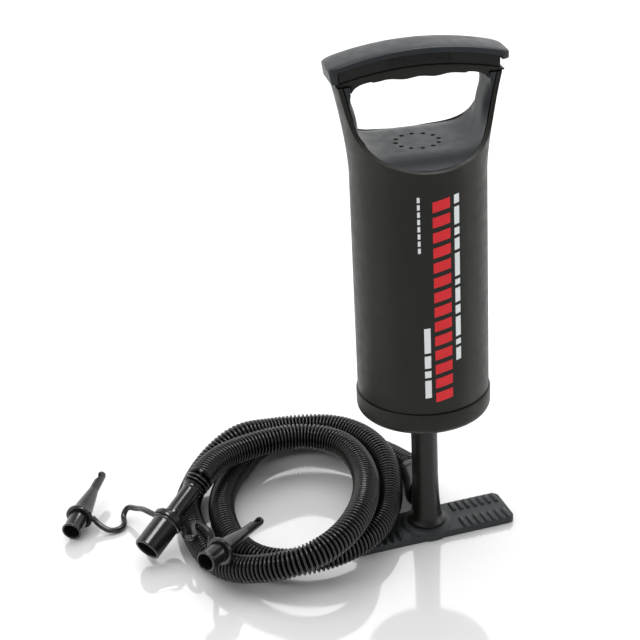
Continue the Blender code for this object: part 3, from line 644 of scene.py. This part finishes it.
def foot_level(z, inset):
    """The foot's outline, a long rectangle with round corners, at one height."""
    shrink_x, shrink_y = 1 - inset / FOOT_HALF_LENGTH, 1 - inset / FOOT_HALF_WIDTH
    level = []
    steps = 12
    for sx, sy, start in ((1, 1, 0), (-1, 1, 90), (-1, -1, 180), (1, -1, 270)):
        for i in range(steps + 1):
            a = math.radians(start + 90 / steps * i)
            x = sx * (FOOT_HALF_LENGTH - FOOT_CORNER) + FOOT_CORNER * math.cos(a)
            y = sy * (FOOT_HALF_WIDTH - FOOT_CORNER) + FOOT_CORNER * math.sin(a)
            level.append((x * shrink_x, y * shrink_y, z))
    return level


def pad_ridge(x, row, length):
    """One rounded ridge that lies across a pad and sinks at both ends."""
    base = 4.2
    crown = [(-1.4, base), (-1.4, 6.0), (-1.05, 6.45), (-0.5, 6.7), (0.5, 6.7), (1.05, 6.45), (1.4, 6.0),
             (1.4, base)]
    sections = []
    for share, sink in ((-0.5, 0.9), (-0.47, 0.35), (-0.42, 0.0), (0.42, 0.0), (0.47, 0.35), (0.5, 0.9)):
        y = row + share * length
        sections.append([(x + dx, y, z - (sink if z > base else 0)) for dx, z in crown])
    return lofted("ridge", sections)


def foot_screw_places():
    return round_places(SCREW_COUNT, SCREW_RING, math.pi / 4)


def make_foot():
    """The foot plate with its hub, two ridged pads and four screw holes."""
    sections = [foot_level(0, 0.3), foot_level(0.3, 0)]
    for i in range(5):
        a = math.radians(22.5 * i)
        sections.append(foot_level(PAD_THICKNESS - PAD_EDGE + PAD_EDGE * math.sin(a),
                                   PAD_EDGE - PAD_EDGE * math.cos(a)))
    foot = lofted("foot_base_fine", sections, FOOT_GREY)
    top, low = FLANGE_Z - GAP, 0.4
    hub = turned("hub", [(0, low), (HUB_RADIUS, low), (HUB_RADIUS, 4.2), (HUB_RADIUS - 0.4, 5.3),
                         (17.6, 6.2), (15.6, 7.0), (13.2, top), (0, top)], steps=72)
    combine(foot, hub, "UNION")
    for end in (-1, 1):
        for row, length in RIDGE_ROWS:
            for i in range(RIDGE_COUNT):
                combine(foot, pad_ridge(end * (RIDGE_FIRST + i * RIDGE_PITCH), row, length), "UNION")
    combine(foot, pegs("screw_holes", foot_screw_places(), radius=1.9, low=-1, high=12))
    combine(foot, pegs("screw_seats", foot_screw_places(), radius=3.9, low=-1, high=2.6))
    finished(foot, "stand", "grey_plastic", "foot_base")


def make_rod():
    """The hollow rod: its flange runs in a cove into the straight rod, and the port leaves its foot."""
    outline = [(0, FLANGE_Z), (FLANGE_RADIUS - 0.6, FLANGE_Z), (FLANGE_RADIUS, FLANGE_Z + 0.6),
               (FLANGE_RADIUS, FLANGE_Z + 1.4), (FLANGE_RADIUS - 0.5, FLANGE_Z + 2.0), (12.6, 10.6),
               (11.5, 11.6), (10.9, 13.2), (10.55, 15.5), (10.3, 19.0), (9.9, 26.0), (9.55, 34.0),
               (9.3, 40.0), (ROD_RADIUS, ROD_STRAIGHT_FROM)]
    chamfer, steps = 0.6, 10
    rise = ROD_TOP - (ROD_STRAIGHT_FROM + chamfer)
    outline += [(ROD_RADIUS, ROD_STRAIGHT_FROM + i * rise / steps) for i in range(1, steps + 1)]
    outline += [(ROD_RADIUS - 0.5, ROD_TOP), (0, ROD_TOP)]
    rod = turned("column_tube_fine", outline, ROD_GREY, steps=72)
    port = turned("port", [(0, 0), (PORT_RADIUS, 0), (PORT_RADIUS, PORT_END - 0.8),
                           (PORT_RADIUS - 0.8, PORT_END), (0, PORT_END)], steps=40)
    combine(rod, aim(port, PORT_START, PORT_DIRECTION), "UNION")
    low, past = 11.5, 1
    combine(rod, turned("rod_bore", [(0, low), (ROD_BORE, low), (ROD_BORE, ROD_TOP + past),
                                     (0, ROD_TOP + past)], steps=48))
    bore = turned("port_bore", [(0, past), (PORT_BORE, past), (PORT_BORE, PORT_END + past),
                                (0, PORT_END + past)], steps=32)
    combine(rod, aim(bore, PORT_START, PORT_DIRECTION))
    combine(rod, pegs("rod_screw_holes", foot_screw_places(), radius=1.6, low=5, high=10.2))
    finished(rod, "stand", "charcoal_plastic", "column_tube")


# ---------------------------------------------------------------- barrel, handle and end cap

def barrel_radius(z):
    if z < NECK:
        share = (z - BARREL_FOOT) / (NECK - BARREL_FOOT)
        return BARREL_FOOT_RADIUS + (NECK_RADIUS - BARREL_FOOT_RADIUS) * share
    return NECK_RADIUS + FLARE * ((z - NECK) / (HANDLE_TOP - NECK)) ** 1.5


def flare_heights(first=0):
    """Heights up the uprights, from the neck to just past the handle's top."""
    return [NECK + (HANDLE_TOP + 1 - NECK) * i / FLARE_STEPS for i in range(first, FLARE_STEPS + 1)]


def skin(z):
    """The shell is thin down the barrel and thickens a little into the uprights, whose outside it is."""
    return SKIN + (UPRIGHT_SKIN - SKIN) * clamp((z - SKIN_CHANGE) / SKIN_CHANGE_LENGTH)


def side_cutter(name, grow=0.0):
    """The saddle's rim and the uprights' front edges, as a solid that crosses the whole barrel."""
    wide, low, reach, least_step = 60, 100, 70, 0.4
    half = [(y + grow, z) for y, z in smooth_curve(RIM, 1.2)]
    top = (half[-1][0], HANDLE_TOP)
    half = [p for p in half[:-1] if p[1] < HANDLE_TOP - least_step] + [top]
    other = [(-y, z) for y, z in reversed(half)]
    shoulder = half[0][1]
    outline = [(wide, low), (wide, shoulder)] + half + other + [(-wide, shoulder), (-wide, low)]
    return lofted(name, [[(x, y, z) for y, z in outline] for x in (-reach, reach)])


def make_shell():
    """The barrel's thin wall and, in one piece with it, the outside of the two uprights."""
    heights = flare_heights()
    low, steps = BARREL_FOOT + 1.0, 12
    straight = [low + (NECK - BARREL_FOOT - 1.0) * i / steps for i in range(steps)]
    outside = [(barrel_radius(z), z) for z in reversed(heights)]
    outside += [(barrel_radius(z), z) for z in reversed(straight)]
    outside += [(BARREL_FOOT_RADIUS - 0.1, BARREL_FOOT + 0.35), (BARREL_FOOT_RADIUS - 0.5, BARREL_FOOT)]
    inside = [(BORE_RADIUS, BARREL_FOOT), (BORE_RADIUS, NECK)]
    inside += [(barrel_radius(z) - skin(z), z) for z in heights[1:]]
    shell = turned("barrel_shell_fine", outside + inside, BARREL_GREY, steps=144)
    combine(shell, side_cutter("shell_rim", grow=-0.4), "INTERSECT")
    combine(shell, pegs("grip_holes", GRIP_SCREWS, radius=1.25, low=329, high=340))
    finished(yawed(shell), "barrel", "charcoal_plastic", "barrel_shell")


def handle_opening():
    """The space over the dish and between the uprights, as a solid that crosses the whole barrel."""
    half = [tuple(p) for p in smooth_curve(DISH, 1.3)]
    outline = [(-x, z) for x, z in reversed(half)] + half[1:]
    sections = []
    reach, count = 54, 40
    for i in range(count + 1):
        y = -reach + 2 * reach * i / count
        past_flat = max(0.0, abs(y) - SADDLE_FLAT) / (SADDLE_REACH - SADDLE_FLAT)
        drop = SADDLE_DROP * past_flat ** 2
        section = []
        for x, z in outline:
            # The uprights' inner faces round off towards the front and the back.
            spread = OPENING_FLARE * clamp(min((z - OPENING_LOW) / 12, (OPENING_HIGH - z) / 8))
            spread *= clamp((abs(y) - 6) / 9) ** 2
            # The dish falls off towards the front and the back, and the uprights don't.
            low = z - drop * clamp((309 - z) / 12)
            section.append((x + math.copysign(spread, x), y, low))
        sections.append(section)
    return lofted("handle_opening", sections)


def make_top_cover():
    """The dish with its ring of intake holes and, in one piece with it, the linings of the uprights."""
    heights = flare_heights(2)
    outside = [(barrel_radius(z) - skin(z) - SEAM, z) for z in reversed(heights)]
    outside.append((BORE_RADIUS - GAP, heights[0] - 1))
    inside = [(SPIGOT_RADIUS, CEILING + 1.0), (SPIGOT_RADIUS, CEILING), (AIR_SPACE_RADIUS, CEILING),
              (AIR_SPACE_RADIUS, AIR_SPACE_TOP), (0, AIR_SPACE_TOP)]
    cover = turned("top_cover_fine", [(0, heights[-1])] + outside + inside, COVER_GREY, steps=144)
    combine(cover, side_cutter("cover_rim"), "INTERSECT")
    combine(cover, handle_opening())
    intake = round_places(INTAKE_HOLES, INTAKE_RING)
    combine(cover, pegs("intake_holes", intake, INTAKE_HOLE_RADIUS, low=285, high=300))
    combine(cover, pegs("pin_hole", [(0, 0)], radius=2.3, low=285, high=292.4))
    finished(yawed(cover), "barrel", "grey_plastic", "top_cover")


def arc_height(x, middle):
    """The grip's edges all follow one arc, which is middle high over the rod."""
    return middle - (GRIP_ARC - math.sqrt(GRIP_ARC**2 - x**2))


def underside(x):
    """The grip's underside: finger waves in the middle, and a quarter round down to each upright."""
    if abs(x) > UPRIGHT_FACE:
        return HANDLE_TOP + GAP
    reach = abs(x) - FINGERS_HALF
    if reach > 0:
        low, rise, length = 332.6, 7.2, 14.0
        return low + rise * math.sqrt(max(0.0, 1 - (reach / length) ** 2))
    wave, half_length = 0.5, 10
    return GRIP_UNDERSIDE - 0.4 + wave * math.cos(math.pi * x / half_length)


def make_grip_lower():
    """The lower grip, with two seats on its ends for the screws into the uprights."""
    # Stations along the grip: its seats on the uprights, the quarter rounds and the finger waves
    half = [-54 + 0.9 * i for i in range(11)] + [-43.95, -43.85]
    half += [-43.6 + 0.8 * i for i in range(18)]
    half += [-29.2 + 1.22 * i for i in range(24)]
    sections = []
    for x in half + [0] + [-x for x in reversed(half)]:
        low, high = underside(x), arc_height(x, LIP)
        side = [(-12.2, low + 1.1), (-12.9, high - 0.5), (-12.75, high - 0.15), (-12.4, high), (12.4, high),
                (12.75, high - 0.15), (12.9, high - 0.5), (12.2, low + 1.1), (11.9, low + 0.45),
                (11.2, low + 0.1), (10.4, low), (-10.4, low), (-11.2, low + 0.1), (-11.9, low + 0.45)]
        sections.append([(x, y, z) for y, z in side])
    grip = lofted("grip_lower_fine", sections, BARREL_GREY)
    combine(grip, pegs("screw_seats", GRIP_SCREWS, radius=2.3, low=339.7, high=345))
    combine(grip, pegs("screw_holes", GRIP_SCREWS, radius=1.3, low=330, high=340.5))
    finished(yawed(grip), "barrel", "grey_plastic", "grip_lower")


def make_grip_band():
    """The dark band between the lower grip and the cover, with moulded ribs on both sides."""
    sections = []
    steps, pitch = 60, 1.72
    for i in range(steps + 1):
        x = -BAND_HALF + pitch * i
        low, high = arc_height(x, LIP) + GAP, arc_height(x, BAND_TOP) - GAP
        sections.append([(x, -11.6, low), (x, -11.9, high), (x, 11.9, high), (x, 11.6, low)])
    band = lofted("grip_band_fine", sections, GRIP_DARK)
    finished(yawed(band), "barrel", "dark_grip_plastic", "grip_band")
    for side in (-1, 1):
        make_band_ribs(side)


def cover_section(x):
    """The cover's outline across the grip: a crown above, and a skirt that laps over the band."""
    share = min(1.0, max(0.0, abs(x) - COVER_STRAIGHT) / COVER_ROUND)
    round_end = math.sqrt(1 - share**2)
    half = COVER_HALF_WIDTH * (0.66 + 0.34 * round_end)
    rise = 0.4 + 0.6 * round_end
    top = arc_height(x, BAND_TOP) + COVER_EDGE
    under = top - COVER_EDGE
    low = under - SKIRT
    if abs(x) > COVER_PAST_BAND:
        # Past the band the ends hang lower: the left one hooks down to the upright's top.
        low = HOOK_LOW + max(0.0, -x - HOOK_FROM) * 6.0 if x < 0 else LIFT_LOW
        under = low
    crown = [(0.0, under), (0.865, under), (0.87, low), (0.98, low), (1.0, low + 0.4), (1.0, top)]
    dome = [(0.985, 0.35), (0.95, 0.7), (0.87, 1.0), (0.72, 1.25), (0.55, 1.4), (0.36, 1.5), (0.18, 1.55)]
    crown += [(w, top + h * rise) for w, h in dome]
    one = [(half * w, z) for w, z in crown]
    other = [(-y, z) for y, z in reversed(one[1:])]
    return [(x, y, z) for y, z in one + [(0, top + 1.57 * rise)] + other]


def make_grip_cover():
    """The crowned cover over the grip, with rounded ends."""
    ends = [57.6, 57.45, 57.1, HOOK_FROM, 55.2, 53.4, 52.5, 52.4, 52.0]
    places = [-x for x in ends] + [-COVER_STRAIGHT + 2.5 * i for i in range(41)] + list(reversed(ends))
    cover = lofted("grip_cover_fine", [cover_section(x) for x in places], COVER_GREY)
    finished(yawed(cover), "barrel", "grey_plastic", "grip_cover")


def make_band_ribs(side):
    """Fine upright ribs, moulded in the middle of the dark band on one side."""
    shape = bmesh.new()
    count, pitch, half_width, margin = 27, 1.55, 0.42, 2.6
    inner, outer, taper = 11.4, 12.15, 0.6
    for i in range(count):
        x = (i - (count - 1) / 2) * pitch
        corners = []
        for z in (arc_height(x, LIP) + margin, arc_height(x, BAND_TOP) - margin):
            for dx in (-half_width, half_width):
                corners.append(shape.verts.new(Vector((x + dx, side * inner, z)) * MM))
                corners.append(shape.verts.new(Vector((x + dx * taper, side * outer, z)) * MM))
        a, b, c, d, e, f, g, h = corners
        for face in ((a, b, d, c), (e, g, h, f), (a, e, f, b), (c, d, h, g), (b, f, h, d), (a, c, g, e)):
            shape.faces.new(face)
    name = "grip_band_ribs_front" if side < 0 else "grip_band_ribs_back"
    finished(yawed(new_piece(name, shape, GRIP_DARK)), "barrel", "dark_grip_plastic")


def make_end_cap():
    """The barrel's bottom cap, with a collar for the rod's bush and a spigot with a groove for its seal."""
    floor, edge = CAP_FLOOR, CAP_EDGE
    outline = [(CAP_RADIUS - 0.7, CAP_SEAM), (CAP_RADIUS - 0.2, CAP_SEAM - 0.25),
               (CAP_RADIUS, CAP_SEAM - 0.8)]
    for degrees in range(0, 91, 9):
        a = math.radians(degrees)
        outline.append((CAP_RADIUS - edge + edge * math.cos(a), floor + edge - edge * math.sin(a)))
    inside, collar_top, spigot_top = floor + 3.4, 118.4, 121.0
    outline += [(9.9, floor), (9.6, floor + 0.3), (9.6, floor + 0.9), (12.6, floor + 0.9),
                (12.6, collar_top), (15.8, collar_top), (15.8, inside), (39.6, inside), (39.6, spigot_top),
                (SPIGOT_RADIUS, spigot_top), (SPIGOT_RADIUS, 120.5), (40.4, 120.5), (40.4, 118.9),
                (SPIGOT_RADIUS, 118.9), (SPIGOT_RADIUS, CAP_SEAM)]
    cap = turned("end_cap_fine", outline, BARREL_GREY, steps=144)
    holes = round_places(CAP_HOLES, CAP_HOLE_RING)
    combine(cap, pegs("lower_intake_holes", holes, CAP_HOLE_RADIUS, low=floor - 1, high=floor + 4))
    finished(yawed(cap), "barrel", "charcoal_plastic", "end_cap")


# ---------------------------------------------------------------- printed marks

def ink_point(shape, degrees, z):
    """The two ends of the ink's thickness at one place: just under the barrel's skin, and just over it."""
    angle = math.radians(PRINT_FRONT) + math.radians(degrees)
    pair = []
    for rise in (-0.05, 0.06):
        r = barrel_radius(z) + rise
        pair.append(shape.verts.new(Vector((r * math.cos(angle), r * math.sin(angle), z)) * MM))
    return pair


def printed(name, finish, patches):
    """Flat ink on the barrel. A patch is its four corners as (degrees round from the front, height)."""
    shape = bmesh.new()
    rows = 6
    for (a0, z0), (a1, z1), (a2, z2), (a3, z3) in patches:
        grid = []
        for i in range(rows + 1):
            t = i / rows
            left = (a0 + (a3 - a0) * t, z0 + (z3 - z0) * t)
            right = (a1 + (a2 - a1) * t, z1 + (z2 - z1) * t)
            line = []
            for j in range(rows + 1):
                s = j / rows
                degrees = left[0] + (right[0] - left[0]) * s
                line.append(ink_point(shape, degrees, left[1] + (right[1] - left[1]) * s))
            grid.append(line)
        for i in range(rows):
            for j in range(rows):
                quad = (grid[i][j], grid[i][j + 1], grid[i + 1][j + 1], grid[i + 1][j])
                shape.faces.new([p[1] for p in quad])
                shape.faces.new([p[0] for p in reversed(quad)])
        border = grid[0] + [grid[i][rows] for i in range(1, rows + 1)]
        border += list(reversed(grid[rows][:-1])) + [grid[i][0] for i in range(rows - 1, 0, -1)]
        for one, two in zip(border, border[1:] + border[:1]):
            shape.faces.new((one[0], two[0], two[1], one[1]))
    finished(new_piece(name, shape, finish), "barrel", "charcoal_plastic")


def slanted_bar(low, high, left, right, slant):
    return [(left, low), (right, low + slant), (right, high + slant), (left, high)]


def bar_column(low, lengths, space, left, right, slant):
    """A column of slanted bars from low upwards, with a space between them."""
    bars = []
    for length in lengths:
        bars.append(slanted_bar(low, low + length, left, right, slant))
        low += length + space
    return bars


def make_marks():
    """Generic print: a column of slanted red bars, two broken white lines and a row of small white ticks."""
    count, lowest, pitch, thick = 14, 127.5, 10.35, 7.0
    heights = [lowest + i * pitch for i in range(count)]
    printed("red_marks", RED_INK, [slanted_bar(low, low + thick, 11.0, 26.0, 2.4) for low in heights])
    lengths = (9, 4, 14, 6, 10, 4, 16, 8, 5, 12, 6)
    upper = bar_column(156.0, lengths, space=2.2, left=29.6, right=34.4, slant=0.6)
    lower = bar_column(131.0, (13, 5, 9, 18), space=2.0, left=2.0, right=7.4, slant=0.5)
    ticks = bar_column(235.0, [3.6] * 8, space=1.3, left=-1.4, right=0.9, slant=0.2)
    printed("white_marks", WHITE_INK, upper + lower + ticks)


# ---------------------------------------------------------------- the whole pump

def dress_inner_pieces():
    """Gives the CAD solids inside the pump a detailed material for their slot."""
    finishes = {"black_rubber": RUBBER, "natural_nylon": NYLON, "zinc_steel": STEEL}
    slots = {row["node"]: row["material_slot"] for row in frame["record"]["subparts"]}
    for name, node in frame["nodes"].items():
        finish = finishes.get(slots.get(name))
        if finish:
            node.data.materials.clear()
            node.data.materials.append(finish)


def main():
    make_camera()
    make_floor()
    make_light()
    hose, path, length = make_hose()
    others = make_cuffs() + make_nozzles() + [make_tether()]
    make_foot()
    make_rod()
    make_shell()
    make_top_cover()
    make_grip_lower()
    make_grip_band()
    make_grip_cover()
    make_end_cap()
    make_marks()
    dress_inner_pieces()


main()
